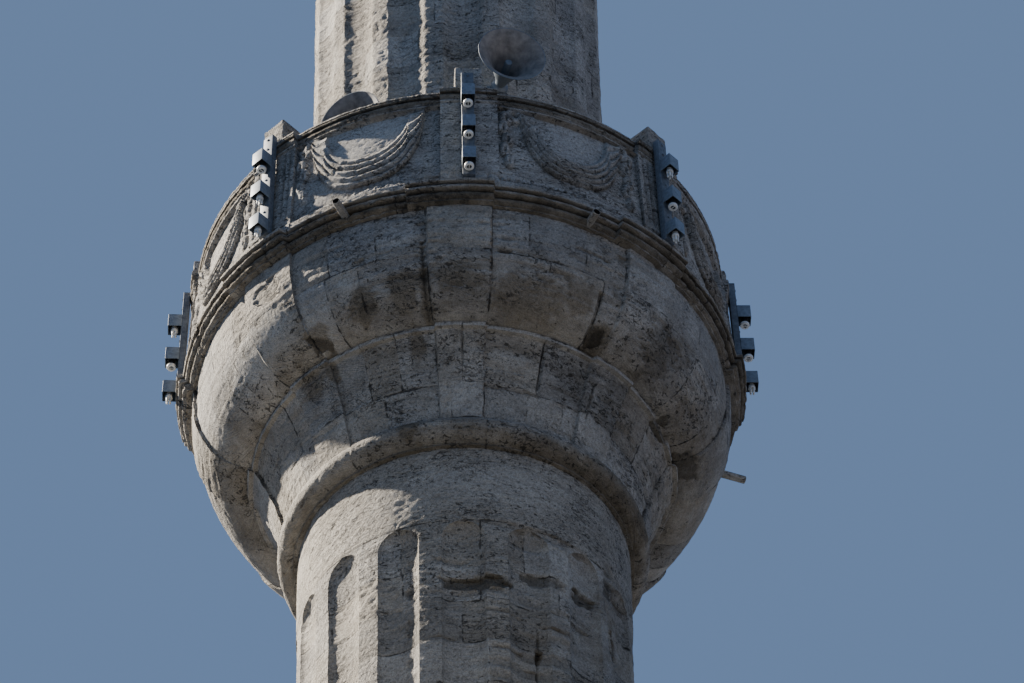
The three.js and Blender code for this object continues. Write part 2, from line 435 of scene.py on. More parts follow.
def fluted(azimuth, radius, up, bluntness):
    """Sinks the flutes; up counts from the middle of their domed ends in dome radii.
    The mesh's columns bend round the domes, so that their edges stay crisp."""
    offset = from_nearest(azimuth, FLUTE_PITCH)
    dome = np.maximum(FLUTE_HALF * np.sqrt(np.clip(1 - up * up, 0, 1)), 0.4)
    past = 0.4 + (FLUTE_HALF - 0.4) * smooth(1, 2.4, up)
    half = np.where(up <= 0, FLUTE_HALF, np.where(up < 1, dome, past))
    far = FLUTE_PITCH / 2
    inside = np.abs(offset) * half / FLUTE_HALF
    outside = far - (far - np.abs(offset)) * (far - half) / (far - FLUTE_HALF)
    bent = np.where(np.abs(offset) <= FLUTE_HALF, inside, outside) * np.sign(offset)
    azimuth = azimuth - offset + bent
    across = bent / FLUTE_HALF
    sunk = FLUTE_DEPTH * np.clip(1 - across ** 2 - np.maximum(up, 0) ** 2, 0, 1) ** bluntness
    return azimuth, radius - sunk


def flute_dome(radius):
    return radius * sin(radians(FLUTE_HALF))


def lower_face(azimuth, radius, level):
    up = (level - LOWER_FLUTE_HEAD) / flute_dome(LOWER_R)
    azimuth, radius = fluted(azimuth, radius, up, 0.6)
    points = places(azimuth, radius, level)
    rough = smooth(-12, 6, azimuth) * (1 - smooth(120, 150, azimuth)) * (1 - smooth(2.02, 2.16, level))
    return azimuth, radius, level, weathered(points, 0.003 + 0.013 * rough, 0.006, 0.005)


def upper_face(azimuth, radius, level):
    up = (UPPER_FLUTE_FOOT - level) / flute_dome(UPPER_R)
    azimuth, radius = fluted(azimuth - PARAPET_TURN, radius, up, 0.8)
    azimuth = azimuth + PARAPET_TURN
    return azimuth, radius, level, weathered(places(azimuth, radius, level), 0.004, 0.009, 0.006)


LOWER_BEDS = [0, 0.46, 0.87, 1.28, 1.64, 2.05, RING_BASE]
BAND_JOINTS = [-180, -128, -66, 64, 121, 180]
LOWER_STAIN = [
    (5, 1.43, 0.26, 0.075, 0.3), (46, 1.64, 0.14, 0.09, 0.3), (26, 0.85, 0.03, 0.09, 1.0),
    (30, 1.98, 0.32, 0.11, 0.3), (55, 1.45, 0.38, 0.45, 0.45), (12, 2.06, 0.16, 0.05, 0.4),
    (36, 1.1, 0.18, 0.16, 0.3),
]
LOWER_PALE = [
    (-30, 2.3, 0.7, 0.26, 0.3), (8, 2.42, 0.6, 0.24, 0.5), (2, 1.17, 0.2, 0.08, 0.3),
]
LOWER_SCARS = [
    (5, 1.45, 0.24, 0.06, 0.026), (-4, 1.66, 0.11, 0.02, 0.014), (28, 1.59, 0.16, 0.05, 0.018),
    (46, 1.64, 0.1, 0.07, 0.024), (26, 0.85, 0.018, 0.03, 0.03), (25.6, 0.7, 0.008, 0.15, 0.016),
    (26.2, 1.0, 0.008, 0.12, 0.014), (40, 1.3, 0.2, 0.02, 0.012), (62, 1.4, 0.08, 0.16, 0.02),
    (36, 2.02, 0.22, 0.03, 0.01), (58, 2.0, 0.05, 0.18, 0.012), (15, 0.8, 0.12, 0.015, 0.012),
    (-19, 1.42, 0.03, 0.06, 0.014), (-8, 0.9, 0.09, 0.014, 0.012), (12, 1.16, 0.17, 0.012, 0.012),
    (-24, 1.29, 0.07, 0.012, 0.01), (-18.5, 1.7, 0.022, 0.04, 0.012), (-19, 1.08, 0.026, 0.08, 0.012),
    (-18.5, 0.72, 0.022, 0.05, 0.014),
]


def lower_shaft(stone):
    outline = closed([(LOWER_R, z) for z in LOWER_BEDS], FINE)
    joints = random_joints(len(LOWER_BEDS) - 2, 30, 11)
    coursing = Coursing(LOWER_BEDS, [*joints, BAND_JOINTS], 0.008)
    nodes = [f"lower_shaft_{side}" for side in QUARTERS]
    stonework(
        turned(outline, 480, sectors=16), "lower_shaft_masonry", stone, lower_face, coursing, nodes,
        stain=LOWER_STAIN, pale=LOWER_PALE, scars=LOWER_SCARS,
    )


UPPER_BEDS = [
    FLOOR_TOP, 5.15, 5.53, 5.9, 6.25, DOOR_TOP,
    6.98, 7.36, 7.74, 8.12, 8.5, 8.88, 9.24, UPPER_BED,
]
JAMB = 180 - degrees(asin(DOOR_HALF_WIDTH / UPPER_R))


def door_face(azimuth, radius, level):
    """Squares the ends of the wall to the doorway, then weathers the outer face"""
    wall = radius > 1
    weathered = upper_face(azimuth, radius, level)
    cheek = np.abs(azimuth) > JAMB - 3
    plain = (azimuth, radius, level, tooled(places(azimuth, radius, level), 0.004))
    inner = (azimuth, radius, level, 0)
    azimuth, radius, level, wear_and_groove_shade = [
        np.where(wall, np.where(cheek, p, w), i) for w, p, i in zip(weathered, plain, inner)
    ]
    squared = 180 - np.degrees(np.arcsin(DOOR_HALF_WIDTH / np.maximum(radius, 0.5)))
    share = smooth(140, JAMB, np.abs(azimuth))
    return azimuth + (squared - JAMB) * share * np.sign(azimuth), radius, level, wear_and_groove_shade


def upper_shaft(stone):
    # The last bed lies above the wall, so that no joint runs over its top
    beds = [*UPPER_BEDS[:-1], UPPER_BED + 0.1]
    coursing = Coursing(beds, random_joints(len(beds) - 1, 32, 23), 0.003)
    line = [(UPPER_R, z) for z in UPPER_BEDS]
    door_head = UPPER_BEDS.index(DOOR_TOP)
    wall = turned(closed(line[:door_head + 1], 0.018), 435, -JAMB, 2 * JAMB, 15)
    nodes = [
        "upper_shaft_front", "upper_shaft_right", "upper_shaft_left",
        "doorway_jamb_right", "doorway_jamb_left",
    ]
    stonework(wall, "upper_shaft_masonry", stone, door_face, coursing, nodes, outer=0)

    seen_head = door_head + 4
    seen = divided(line[door_head:seen_head + 1], 0.02)
    rest = divided(line[seen_head:], 0.034)
    back = [line[-1], (WELL_R, UPPER_BED), (WELL_R, DOOR_TOP), line[door_head]]
    head = turned(seen + rest + divided(back, COARSE), 480, sectors=16)
    nodes = ["upper_shaft_over_doorway"]
    stonework(head, "upper_shaft_head_masonry", stone, upper_face, coursing, nodes)


# Ring moulding, bowl and cornice

def ring_face(azimuth, radius, level):
    points = places(azimuth, radius, level)
    joint = np.abs(from_nearest(azimuth - 8, BAY)) < 0.4
    return azimuth, radius, level, weathered(points, 0, 0.005, 0.007) + 0.006 * joint


RING_STAIN = [
    (-16, 2.93, 0.12, 0.1, 0.7), (4, 2.9, 0.35, 0.06, 0.35), (40, 2.85, 0.7, 0.07, 0.4),
    (-5, 2.8, 2.0, 0.012, 0.8), (60, 2.8, 2.0, 0.012, 0.8), (62, 2.9, 0.6, 0.11, 0.9),
]


def ring_moulding(stone):
    roll = [
        (RING_R + RING_ROLL * cos(radians(a)), RING_MIDDLE + RING_ROLL * sin(radians(a)))
        for a in range(-90, 91, 6)
    ]
    fillet = [(1.21, RING_BASE), (1.228, 2.794), (1.228, 2.806), (1.206, 2.812)]
    ring = turned(closed([*fillet, *roll], 0.012), 600, sectors=24)
    joints = [-172 + BAY * i for i in range(SIDES)]
    coursing = Coursing([RING_BASE - 0.2, BOWL_FOOT + 0.2], [[-180, *joints, 180]])
    nodes = ["ring_moulding"]
    stonework(ring, "ring_moulding_stones", stone, ring_face, coursing, nodes, stain=RING_STAIN)


def ovolo_line(low, high, steps):
    """Quarter ellipse of the bowl's upper tier between two levels"""
    start, end = [acos(1 - (level - TIER) / (OVOLO_TOP - TIER)) for level in (low, high)]
    angles = [start + (end - start) * i / steps for i in range(steps + 1)]
    return [
        (TIER_R + (BOWL_R - TIER_R) * sin(a), TIER + (OVOLO_TOP - TIER) * (1 - cos(a))) for a in angles
    ]


BOWL_BEDS = [BOWL_FOOT, 3.31, 3.716, 4.1, FLOOR_BASE]
FRONT_JOINTS = [
    [-24, -7, -3, 7, 21, 33],
    [-28, -18, -7, 0.5, 7, 23.5],
    [-38, -30.5, -22.5, -7, 7, 20, 33, 38],
    [-38, -29, -18, -7, 7, 15, 28, 38],
]
BOWL_STAIN = [
    (-23, 3.84, 0.11, 0.09, 1.0), (17, 3.85, 0.33, 0.13, 0.55), (36, 3.76, 0.09, 0.07, 1.0),
    (52, 3.9, 0.33, 0.22, 0.1), (70, 3.9, 0.26, 0.24, 0.1), (90, 4.0, 0.4, 0.22, 0.1),
    (-8, 3.86, 0.05, 0.16, 0.7), (30, 4.02, 0.3, 0.1, 0.4), (0, 3.9, 0.2, 0.09, 0.5),
    (-36, 3.79, 0.09, 0.06, 0.8), (8, 4.46, 0.5, 0.04, 0.4), (40, 4.38, 0.3, 0.06, 0.4),
    (-45, 3.62, 0.14, 0.1, 0.6), (-38, 3.64, 0.05, 0.08, 0.8), (50, 3.56, 0.2, 0.16, 0.1),
    (-12, 3.6, 0.06, 0.12, 0.7), (-13, 3.88, 0.13, 0.12, 0.6), (30, 3.56, 0.5, 0.13, 0.1),
    (55, 3.4, 0.4, 0.26, 0.25), (28, 3.9, 0.12, 0.12, 0.7), (58, 4.02, 0.16, 0.12, 0.4),
    (80, 3.5, 0.5, 0.3, 0.25), (45, 3.24, 0.34, 0.2, 0.2),
]
BOWL_PALE = [
    (0, 3.708, 2.4, 0.024, 1.0), (60, 3.708, 1.2, 0.024, 0.9), (180, 3.708, 4.0, 0.02, 0.7),
    (-13, 4.3, 0.15, 0.13, 0.7), (-26, 3.96, 0.06, 0.11, 0.6), (14, 3.52, 0.15, 0.07, 0.6),
    (-38, 3.18, 0.1, 0.12, 0.6), (5, 3.15, 0.32, 0.11, 0.4), (24, 3.48, 0.13, 0.12, 0.3),
    (0, 3.16, 0.2, 0.12, 0.3), (-62, 3.25, 0.2, 0.15, 0.4), (48, 4.05, 0.05, 0.1, 0.6),
    (30, 4.33, 0.08, 0.1, 0.4), (-52, 3.94, 0.4, 0.17, 0.9), (-72, 4.15, 0.5, 0.3, 0.6),
]
BOWL_SCARS = [
    (-7.9, 3.96, 0.018, 0.26, 0.02), (7.5, 4.1, 0.014, 0.3, 0.016), (-37, 3.76, 0.07, 0.03, 0.026),
    (35, 3.765, 0.06, 0.04, 0.03), (9.5, 4.11, 0.06, 0.012, 0.018), (23.7, 3.5, 0.008, 0.2, 0.014),
    (32.7, 3.88, 0.012, 0.13, 0.018), (16, 3.3, 0.2, 0.01, 0.012), (30, 4.29, 0.16, 0.012, 0.012),
    (-30, 4.3, 0.14, 0.07, 0.01), (52, 3.89, 0.18, 0.14, 0.014), (-22, 4.13, 0.05, 0.02, 0.016),
    (-45, 4.28, 0.12, 0.1, 0.014), (0.6, 3.56, 0.008, 0.12, 0.014), (41, 3.4, 0.012, 0.18, 0.014),
    (70, 3.7, 0.12, 0.03, 0.022), (86, 3.74, 0.16, 0.03, 0.022),
]


def bowl_joints(seed):
    """The joints the photograph shows in front, and others like them behind"""
    chance = random.Random(seed)
    rows = []
    for front in FRONT_JOINTS:
        cuts = list(front)
        for side in range(1, SIDES - 1):
            rib = side * BAY
            cuts += [rib + RIB_HALF, rib + BAY / 2 + chance.uniform(-6, 2), rib + BAY - RIB_HALF]
            if chance.random() < 0.5:
                cuts.append(rib + BAY / 2 + chance.uniform(6, 10))
        cuts += [BAY + RIB_HALF - 0.01]
        cuts = sorted(from_nearest(cut, 360) for cut in set(cuts))
        rows.append([-180.001, *cuts, 180.001])
    return rows


def ribbed(azimuth, half, gap):
    """Draws the first column beside each rib up to its edge, so that the step is steep"""
    offset = from_nearest(azimuth, BAY)
    beside = (np.abs(offset) > half) & (np.abs(offset) < half + 0.6)
    azimuth = np.where(beside, azimuth - offset + (half + gap) * np.sign(offset), azimuth)
    return azimuth, from_nearest(azimuth, BAY)


def bowl_face(azimuth, radius, level):
    azimuth, offset = ribbed(azimuth, RIB_HALF, 0.06)
    points = places(azimuth, radius, level)
    in_bay = np.abs(offset) > RIB_HALF + 0.01
    return azimuth, radius - RIB_PROUD * in_bay, level, weathered(points, 0.008, 0.007, 0.006)


def bowl(stone):
    lower = [
        (1.288, BOWL_FOOT), (1.312, 3.11), (1.34, 3.2), (1.37, BOWL_BEDS[1]), (1.418, 3.45),
        (1.475, 3.58), (1.53, 3.684), (1.532, 3.69), (1.566, 3.692), (1.573, 3.722), (1.562, 3.726),
        (1.562, TIER),
    ]
    high = ovolo_line(TIER, BOWL_BEDS[3], 30)[:-1] + ovolo_line(BOWL_BEDS[3], OVOLO_TOP, 14)
    outline = closed([*lower, *high, (BOWL_R, FLOOR_BASE)], FINE)
    coursing = Coursing(BOWL_BEDS, bowl_joints(5), 0.004)
    nodes = [f"bowl_{side}" for side in QUARTERS]
    stonework(
        turned(outline, 720, sectors=24), "bowl_masonry", stone, bowl_face, coursing, nodes,
        stain=BOWL_STAIN, pale=BOWL_PALE, scars=BOWL_SCARS, smooth_angle=32,
    )


CORNICE_GROOVES = (4.587, 4.642)


def cornice_face(azimuth, radius, level):
    azimuth, offset = ribbed(azimuth - BREAK_TURN, BREAK_HALF, 0.05)
    azimuth = azimuth + BREAK_TURN
    points = places(azimuth, radius, level)
    # Painted shade in the cornice's two deepest grooves: it darkens them through the wear attribute and
    # leaves the shape as it is
    hollow_shade = 0.024 * shaded_grooves(level, CORNICE_GROOVES, 0.003, 0.012) * (radius > CORNICE_R - 0.1)
    proud = BREAK_PROUD * (np.abs(offset) <= BREAK_HALF + 0.01)
    return azimuth, radius + proud + hollow_shade, level, weathered(points, 0.004, 0.011, 0.008) + hollow_shade


CORNICE_STAIN = [
    (20, 4.56, 1.0, 0.06, 1.0), (70, 4.6, 1.2, 0.08, 1.0), (-5, 4.55, 0.5, 0.05, 1.3),
    (115, 4.6, 1.2, 0.08, 0.9), (-35, 4.57, 0.9, 0.06, 1.0), (180, 4.6, 2.4, 0.08, 0.8),
]
SPOUT_R = 0.03
SPOUT_BORE_R = 0.026
SPOUT_BORE_START = 0.08
SPOUT_START = 1.96
# Azimuth, radius of the open end, and level
SPOUTS = [
    (-24, 2.165, 4.59), (28, 2.115, 4.56), (111.5, 2.27, 4.64),
    (158, 2.22, 4.62), (202, 2.22, 4.62),
]


# How far the cornice's fillets stand back, and their levels
FILLETS = [
    (0.08, FLOOR_BASE), (0.08, 4.534), (0.064, 4.538), (0.052, 4.548), (0.048, 4.56), (0.052, 4.578),
    (0.068, 4.584), (0.068, 4.592), (0.034, 4.596), (0.02, 4.604), (0.016, 4.616), (0.024, 4.632),
    (0.044, 4.638), (0.044, 4.646), (0.004, 4.65), (0, 4.656), (0, 4.676), (0.008, CORNICE_TOP),
]


def gallery_floor(stone):
    fillets = [(CORNICE_R - back, z) for back, z in FILLETS]
    inside = PARAPET_INNER_R - 0.015
    top = [fillets[-1], (inside, CORNICE_TOP), (inside, FLOOR_TOP), (WELL_R, FLOOR_TOP)]
    back = [(WELL_R, FLOOR_TOP), (WELL_R, FLOOR_BASE), fillets[0]]
    outline = divided(fillets, 0.012) + divided(top, 0.12) + divided(back, COARSE)
    joints = [-178 + 15 * i for i in range(24)]
    coursing = Coursing([FLOOR_BASE - 0.3, FLOOR_TOP + 0.3], [[-180, *joints, 180]], 0.003)
    nodes = [f"gallery_floor_{side}" for side in QUARTERS]
    stonework(
        turned(outline, 720, sectors=24), "gallery_floor_masonry", stone, cornice_face, coursing, nodes,
        outer=1.9, stain=CORNICE_STAIN, smooth_angle=32,
    )


def drain_spouts(stone, soot):
    pipes = bmesh.new()
    for azimuth, end, level in SPOUTS:
        length = end - SPOUT_START
        pipe_line = [
            (SPOUT_R, 0), (SPOUT_R, length - 0.003), (SPOUT_R - 0.003, length),
            (SPOUT_BORE_R, length), (SPOUT_BORE_R, SPOUT_BORE_START), (0, SPOUT_BORE_START), (0, 0),
        ]
        pipe = turned(pipe_line, 24)
        bore = []
        for face in pipe.faces:
            middle = face.calc_center_median()
            within = SPOUT_BORE_START - 0.001 < middle.z < length - 0.0005
            if within and middle.xy.length < SPOUT_BORE_R:
                bore.append(face)
        outwards = rotation(azimuth) @ shift(0, -SPOUT_START, level) @ TO_FRONT
        # The bore is lined black: drain dirt and painted shade of the bore
        add(pipes, pipe, outwards, lining=bore, lining_index=1)
    fitting(pipes, "drain_spouts", [stone, soot])


# Parapet

SWAG_MIDDLE = 0.01
SWAG_HEAD = 5.65
SWAG_PROUD = 0.056
STRANDS = 5
LEAVES = 5
LEAF_PITCH = 0.135
LEAF_SWING = 0.014


def panel_ornament(middle):
    """Relief of a swag of cloth with a bunch of ribbon and leaves on either side, and the painted shade
    of its hollows"""
    worn_away = -30 < middle < -15
    bold = 1 if 15 < middle < 35 else 0.7
    half = 0.44 if worn_away else 0.405
    drop = 0.755 if worn_away else 0.69
    inner_drop = 0.42 if worn_away else 0.43

    def relief(across, level):
        u = np.clip(np.abs(across - SWAG_MIDDLE) / half, 0, 1)
        low = SWAG_HEAD - drop * np.sqrt(1 - u ** 3)
        u = np.clip(np.abs(across - SWAG_MIDDLE) / (half - 0.115), 0, 1)
        high = SWAG_HEAD - inner_drop * np.sqrt(1 - u ** 2)
        v = (level - low) / np.maximum(high - low, 0.01)
        cloth = (v > 0) & (v < 1)
        fold = np.abs(np.sin(STRANDS * pi * np.clip(v, 0, 1) ** 0.85))
        hang = SWAG_PROUD * np.sin(pi * np.clip(0.06 + v * 0.88, 0, 1)) ** 0.45
        swag = np.where(cloth, hang * (0.45 + 0.55 * fold), 0)
        field = (v >= 1) & (level < SWAG_HEAD - 0.01)
        total = np.where(field, -0.006, swag)
        # Painted shade between the folds and in the crease under the swag
        hollow_shade = np.where(cloth, (1 - fold) ** 2, 0) + np.exp(-np.abs(np.minimum(v, 0)) * 9) * (v <= 0)
        hollow_shade = np.where(np.abs(across - SWAG_MIDDLE) < half, hollow_shade, 0)
        for centre, heads, size in ((-0.512, 5.56, 1.0), (0.466, 5.54, 0.0 if worn_away else 0.9)):
            for i in range(LEAVES):
                aside = across - centre - LEAF_SWING * (-1) ** i
                up = level - heads + LEAF_PITCH * i
                away = np.hypot(aside / (0.052 - 0.004 * i), up / 0.088)
                leaf = bold * 0.046 * np.sqrt(np.clip(1 - away ** 2, 0, 1))
                slit = np.hypot(aside / 0.013, (up + 0.02) / 0.045)
                leaf -= bold * 0.036 * np.clip(1 - slit, 0, 1)
                total = np.maximum(total, size * leaf)
                # Painted shade in the leaves' slits and round each leaf
                hollow_shade = np.maximum(hollow_shade, size * np.clip(1.2 - slit, 0, 1))
                hollow_shade = np.maximum(hollow_shade, size * np.clip(1 - np.abs(away - 1.05) / 0.15, 0, 1))
        for centre, size in ((-0.432, 0.078), (0.432, 0.0 if worn_away else 0.062)):
            away = np.hypot(across - centre, (level - 5.6) * 0.8) / max(size, 0.001)
            ring = np.clip(1 - ((away - 0.62) / 0.36) ** 2, 0, 1) ** 0.5
            total = np.maximum(total, 0.034 * ring)
            # Painted shade in the knots' middles
            hollow_shade = np.maximum(hollow_shade, 0.8 * np.clip(1 - np.abs(away - 0.15) / 0.3, 0, 1) * (size > 0))
        return total, hollow_shade
    return relief


PANEL_STAIN = [
    (20, 4.9, 0.3, 0.06, 0.4), (30, 5.68, 0.6, 0.04, 0.5), (-20, 5.7, 0.6, 0.04, 0.5),
    (60, 5.1, 0.9, 0.5, 0.3), (-20, 5.75, 1.0, 0.055, 1.1), (26, 5.75, 1.0, 0.055, 1.0),
    (-65, 5.74, 1.0, 0.04, 1.1), (-42, 5.95, 0.2, 0.09, 0.5), (47, 5.95, 0.2, 0.09, 0.4),
]
# The first two spots are painted light: pale patches of sunlight beside the post at -45
PANEL_PALE = [
    (-36, 5.08, 0.045, 0.06, 1.0), (-33, 4.96, 0.035, 0.05, 0.8), (-25, 5.45, 0.26, 0.12, 0.3),
    (-25, 4.77, 0.7, 0.04, 0.6), (2, 4.78, 0.26, 0.045, 0.8), (10, 5.0, 0.08, 0.06, 0.3),
    (-20, 5.48, 0.42, 0.24, 0.9), (26, 5.48, 0.42, 0.24, 0.6), (-30, 5.0, 0.3, 0.16, 0.5),
]


# How far the rail's mouldings stand back, and their levels
RAIL = [
    (0.016, 5.716), (0.01, 5.724), (0.01, 5.75), (0.024, 5.756), (0.024, 5.766), (0.003, 5.77),
    (0, 5.778), (0.001, 5.788), (0.01, 5.794), (0.01, 5.8), (0.001, 5.804), (0.002, 5.818),
    (0.012, RAIL_TOP),
]


def parapet_outline(foot, face_foot, face_head, rail, step):
    face = [
        (foot - 0.004, CORNICE_TOP), (foot, 4.69), (foot, 4.73), (foot - 0.004, FOOT_BAND_TOP),
        (face_foot - 0.002, 4.8), (face_head, 5.668), (face_head + 0.012, 5.68),
        (face_head + 0.012, 5.694), (face_head + 0.004, 5.698),
    ]
    return closed(face + [(rail - back, z) for back, z in RAIL], step, PARAPET_INNER_R, 0.12)


# One block without joints
WHOLE = Coursing([CORNICE_TOP - 0.2, CAP_TOP + 0.2], [[-200, 200]])
RAIL_GROOVES = (5.761, 5.7)


def parapet_face(azimuth, radius, level):
    """Wear of the parapet, its rough chamfered foot and the painted shade in its grooves"""
    points = places(azimuth, radius, level)
    foot = smooth(4.735, 4.75, level) * (1 - smooth(4.8, 4.825, level))
    # Painted shade in the rail's groove and in the crease under the rail, added to the radius as well as
    # to the wear
    hollow_shade = 0.022 * shaded_grooves(level, RAIL_GROOVES, 0.004, 0.014)
    wear_and_groove_shade = tooled(points, 0.005) + pocked(points, 0.006) + hollow_shade
    wear_and_groove_shade += foot * 0.018 * (1 + 1.4 * lumps(points, 0.032, 3))
    return azimuth, radius + hollow_shade, level, wear_and_groove_shade


def parapet_panels(stone):
    for i in range(SIDES):
        middle = from_nearest((i + 0.5) * BAY + PARAPET_TURN, 360)
        relief = panel_ornament(middle)

        def face(azimuth, radius, level, middle=middle, relief=relief):
            azimuth, radius, level, wear_and_groove_shade = parapet_face(azimuth, radius, level)
            across = np.radians(azimuth - middle) * radius
            inside = smooth(4.8, 4.815, level) * (1 - smooth(5.66, 5.672, level))
            carved, hollow_shade = relief(across, level)
            flatter = 0.03 * np.clip(1 - (across / 0.575) ** 2, 0, 1)
            # The painted shade goes into the wear attribute, and onto the radius too, so that the wear's
            # cut takes it back off
            hollow_shade = 0.022 * inside * hollow_shade
            return azimuth, radius + inside * (carved - flatter) + hollow_shade, level, wear_and_groove_shade + hollow_shade

        half = PANEL_HALF - 0.01
        bm = turned(parapet_outline(2.05, 2.022, 1.955, 1.982, 0.0095), 132, -half, 2 * half, 4)
        stonework(
            bm, f"parapet_panel_slab_{i + 1}", stone, face, WHOLE,
            [f"parapet_panel_{i + 1}"], turn=middle, outer=1.9, stain=PANEL_STAIN, pale=PANEL_PALE,
        )


POST_FOOT_R = 2.062
POST_RAIL_R = 2.03
CAP_WIDTH = 0.2
CAP_DEPTH = 0.18
CAP_MIDDLE = 1.925


def parapet_posts(stone):
    for i in range(SIDES):
        middle = from_nearest(i * BAY + PARAPET_TURN, 360)
        plain = i == 0

        def face(azimuth, radius, level, middle=middle, plain=plain):
            points = places(azimuth, radius, level)
            cap = level > RAIL_TOP + 0.001
            azimuth, radius, level, wear_and_groove_shade = parapet_face(azimuth, radius, level)
            offset = np.abs(azimuth - middle)
            groove = np.maximum(1 - np.abs(offset - 4.5) / 0.45, 1 - np.abs(offset - 3.0) / 0.45)
            inside = smooth(4.86, 4.88, level) * (1 - smooth(5.64, 5.655, level))
            if not plain:
                wear_and_groove_shade = wear_and_groove_shade + inside * 0.015 * np.clip(groove * 1.6, 0, 1)
            chipped = 0.008 * (1 + lumps(points + i, 0.09, 3))
            return azimuth, radius, level, np.where(cap, chipped, wear_and_groove_shade)

        half = POST_HALF - 0.01
        bm = turned(parapet_outline(POST_FOOT_R, 2.05, 2.0, POST_RAIL_R, 0.012), 40, -half, 2 * half)
        cap = box(
            (-CAP_WIDTH / 2, -CAP_MIDDLE - CAP_DEPTH / 2, RAIL_TOP - 0.002),
            (CAP_WIDTH / 2, -CAP_MIDDLE + CAP_DEPTH / 2, CAP_TOP), 0.01,
        )
        long_edges = [edge for edge in cap.edges if edge.calc_length() > 0.1]
        bmesh.ops.subdivide_edges(cap, edges=long_edges, cuts=8, use_grid_fill=True)
        add(bm, cap)
        stonework(
            bm, f"parapet_post_stone_{i + 1}", stone, face, WHOLE,
            [f"parapet_post_{i + 1}"], turn=middle, outer=1.84, stain=PANEL_STAIN, pale=PANEL_PALE,
        )


# Lamps and horns

# The bars touch the middle of the flat sides that the solid posts have
POST_FLAT = cos(radians(3.75))
RACK_LOW = POST_FOOT_R * POST_FLAT + 0.0003
RACK_HIGH = POST_RAIL_R * POST_FLAT + 0.0003
RACK_LEAN = degrees(atan((RACK_LOW - RACK_HIGH) / (RAIL_TOP - FOOT_BAND_TOP)))
RACK_FOOT = 4.715
RACK_HEAD = 5.95
BAR_WIDTH = 0.09
BAR_DEPTH = 0.05
HOOD_TOPS = (4.942, 5.316, 5.69)
BOLT_LEVELS = (5.06, 5.435, 5.8, 5.91)
# How far each rack hangs to the right of its post's middle and below the highest place
RACKS = [
    (-0.01, 0.024), (-0.03, 0.07), (-0.03, 0), (0, 0.05),
    (0, 0.05), (0, 0.05), (-0.06, 0.115), (0.012, 0.082),
]
HOOD = 0.1
HOOD_HEIGHT = 0.135
# From the front rack on, bottom lamp first: d is a capped lamp, t one with bare tubes
LAMP_KINDS = ("ddd", "tdt", "tdd", "dtd", "tdt", "ddt", "tdt", "ttd")


def hood_box():
    """Folded sheet box, open below"""
    bm = box((-HOOD / 2, -HOOD / 2, -HOOD_HEIGHT), (HOOD / 2, HOOD / 2 + 0.002, 0), 0.004)
    under = [face for face in bm.faces if face.normal.z < -0.3]
    bmesh.ops.delete(bm, geom=under, context="FACES")
    bmesh.ops.solidify(bm, geom=bm.faces[:], thickness=0.0025)
    return bm


def capped_lamp(bm, matrix):
    """Compact lamp in a white cap, with a black well in its face as painted shade of the hollow, and a
    bridge across it
    """
    cap_line = [
        (0, -0.026), (0.03, -0.026), (0.035, -0.031), (0.036, -0.036), (0.036, -0.047), (0.033, -0.052),
        (0.021, -0.054), (0.018, -0.052), (0.018, -0.042), (0, -0.042),
    ]
    add(bm, turned(cap_line, 28), matrix, 0)
    neck_line = [(0, 0.03), (0.024, 0.03), (0.024, -0.028), (0, -0.028)]
    add(bm, turned(neck_line, 20), matrix, 1)
    # A black disc in the cap's well: painted shade of the hollow
    well_line = [(0, -0.04), (0.0185, -0.04), (0.0185, -0.045), (0, -0.045)]
    add(bm, turned(well_line, 28), matrix, 1)
    add(bm, box((-0.003, -0.018, -0.053), (0.003, 0.018, -0.043), 0.001), matrix, 0)


def tube_lamp(bm, matrix):
    """Compact lamp with four bare tubes"""
    base_line = [
        (0, 0.03), (0.022, 0.03), (0.024, 0.004), (0.027, 0), (0.027, -0.014), (0.024, -0.018),
        (0, -0.018),
    ]
    tube_line = [(0, -0.016), (0.0075, -0.016), (0.0075, -0.062), (0.005, -0.067), (0, -0.0685)]
    add(bm, turned(base_line, 24), matrix, 0)
    for x, y in product((-0.011, 0.011), repeat=2):
        add(bm, turned(tube_line, 14), matrix @ shift(x, y, 0), 0)


def lamp_racks(steel, bar_steel_shaded, white, dark):
    bolt_line = [(0, 0.009), (0.008, 0.009), (0.01, 0.006), (0.01, 0), (0, 0)]
    holder_top = HOOD_HEIGHT - 0.004
    holder_line = [(0, holder_top), (0.03, holder_top), (0.03, 0.026), (0, 0.026)]
    for i, (right, drop) in enumerate(RACKS):
        stand = rotation(i * BAY + PARAPET_TURN) @ shift(right, -RACK_LOW, FOOT_BAND_TOP)
        stand = stand @ rotation(-RACK_LEAN, "X") @ shift(0, 0, -FOOT_BAND_TOP)
        rack = bmesh.new()
        half = BAR_WIDTH / 2
        # The bar takes the darker copy of the hoods' paint: painted shade
        add(rack, box((-half, -BAR_DEPTH, RACK_FOOT), (half, 0, RACK_HEAD - drop), 0.003), stand, 1)
        for level in BOLT_LEVELS:
            add(rack, turned(bolt_line, 8), stand @ shift(0, -BAR_DEPTH, level - drop) @ TO_FRONT, 1)
        lamps = bmesh.new()
        for top, kind in zip(HOOD_TOPS, LAMP_KINDS[i]):
            under = stand @ shift(0, -BAR_DEPTH - HOOD / 2, top - drop)
            add(rack, hood_box(), under)
            mouth = under @ shift(0, 0, -HOOD_HEIGHT)
            # The black holder inside the hood: painted shade of the hood's inside
            add(lamps, turned(holder_line, 20), mouth, 1)
            (capped_lamp if kind == "d" else tube_lamp)(lamps, mouth)
        nodes = [f"lamp_rack_{i + 1}"]
        fitting(rack, f"lamp_rack_steel_{i + 1}", [steel, bar_steel_shaded], nodes, 30)
        fitting(lamps, f"lamp_bulbs_{i + 1}", [white, dark], smooth_angle=35)


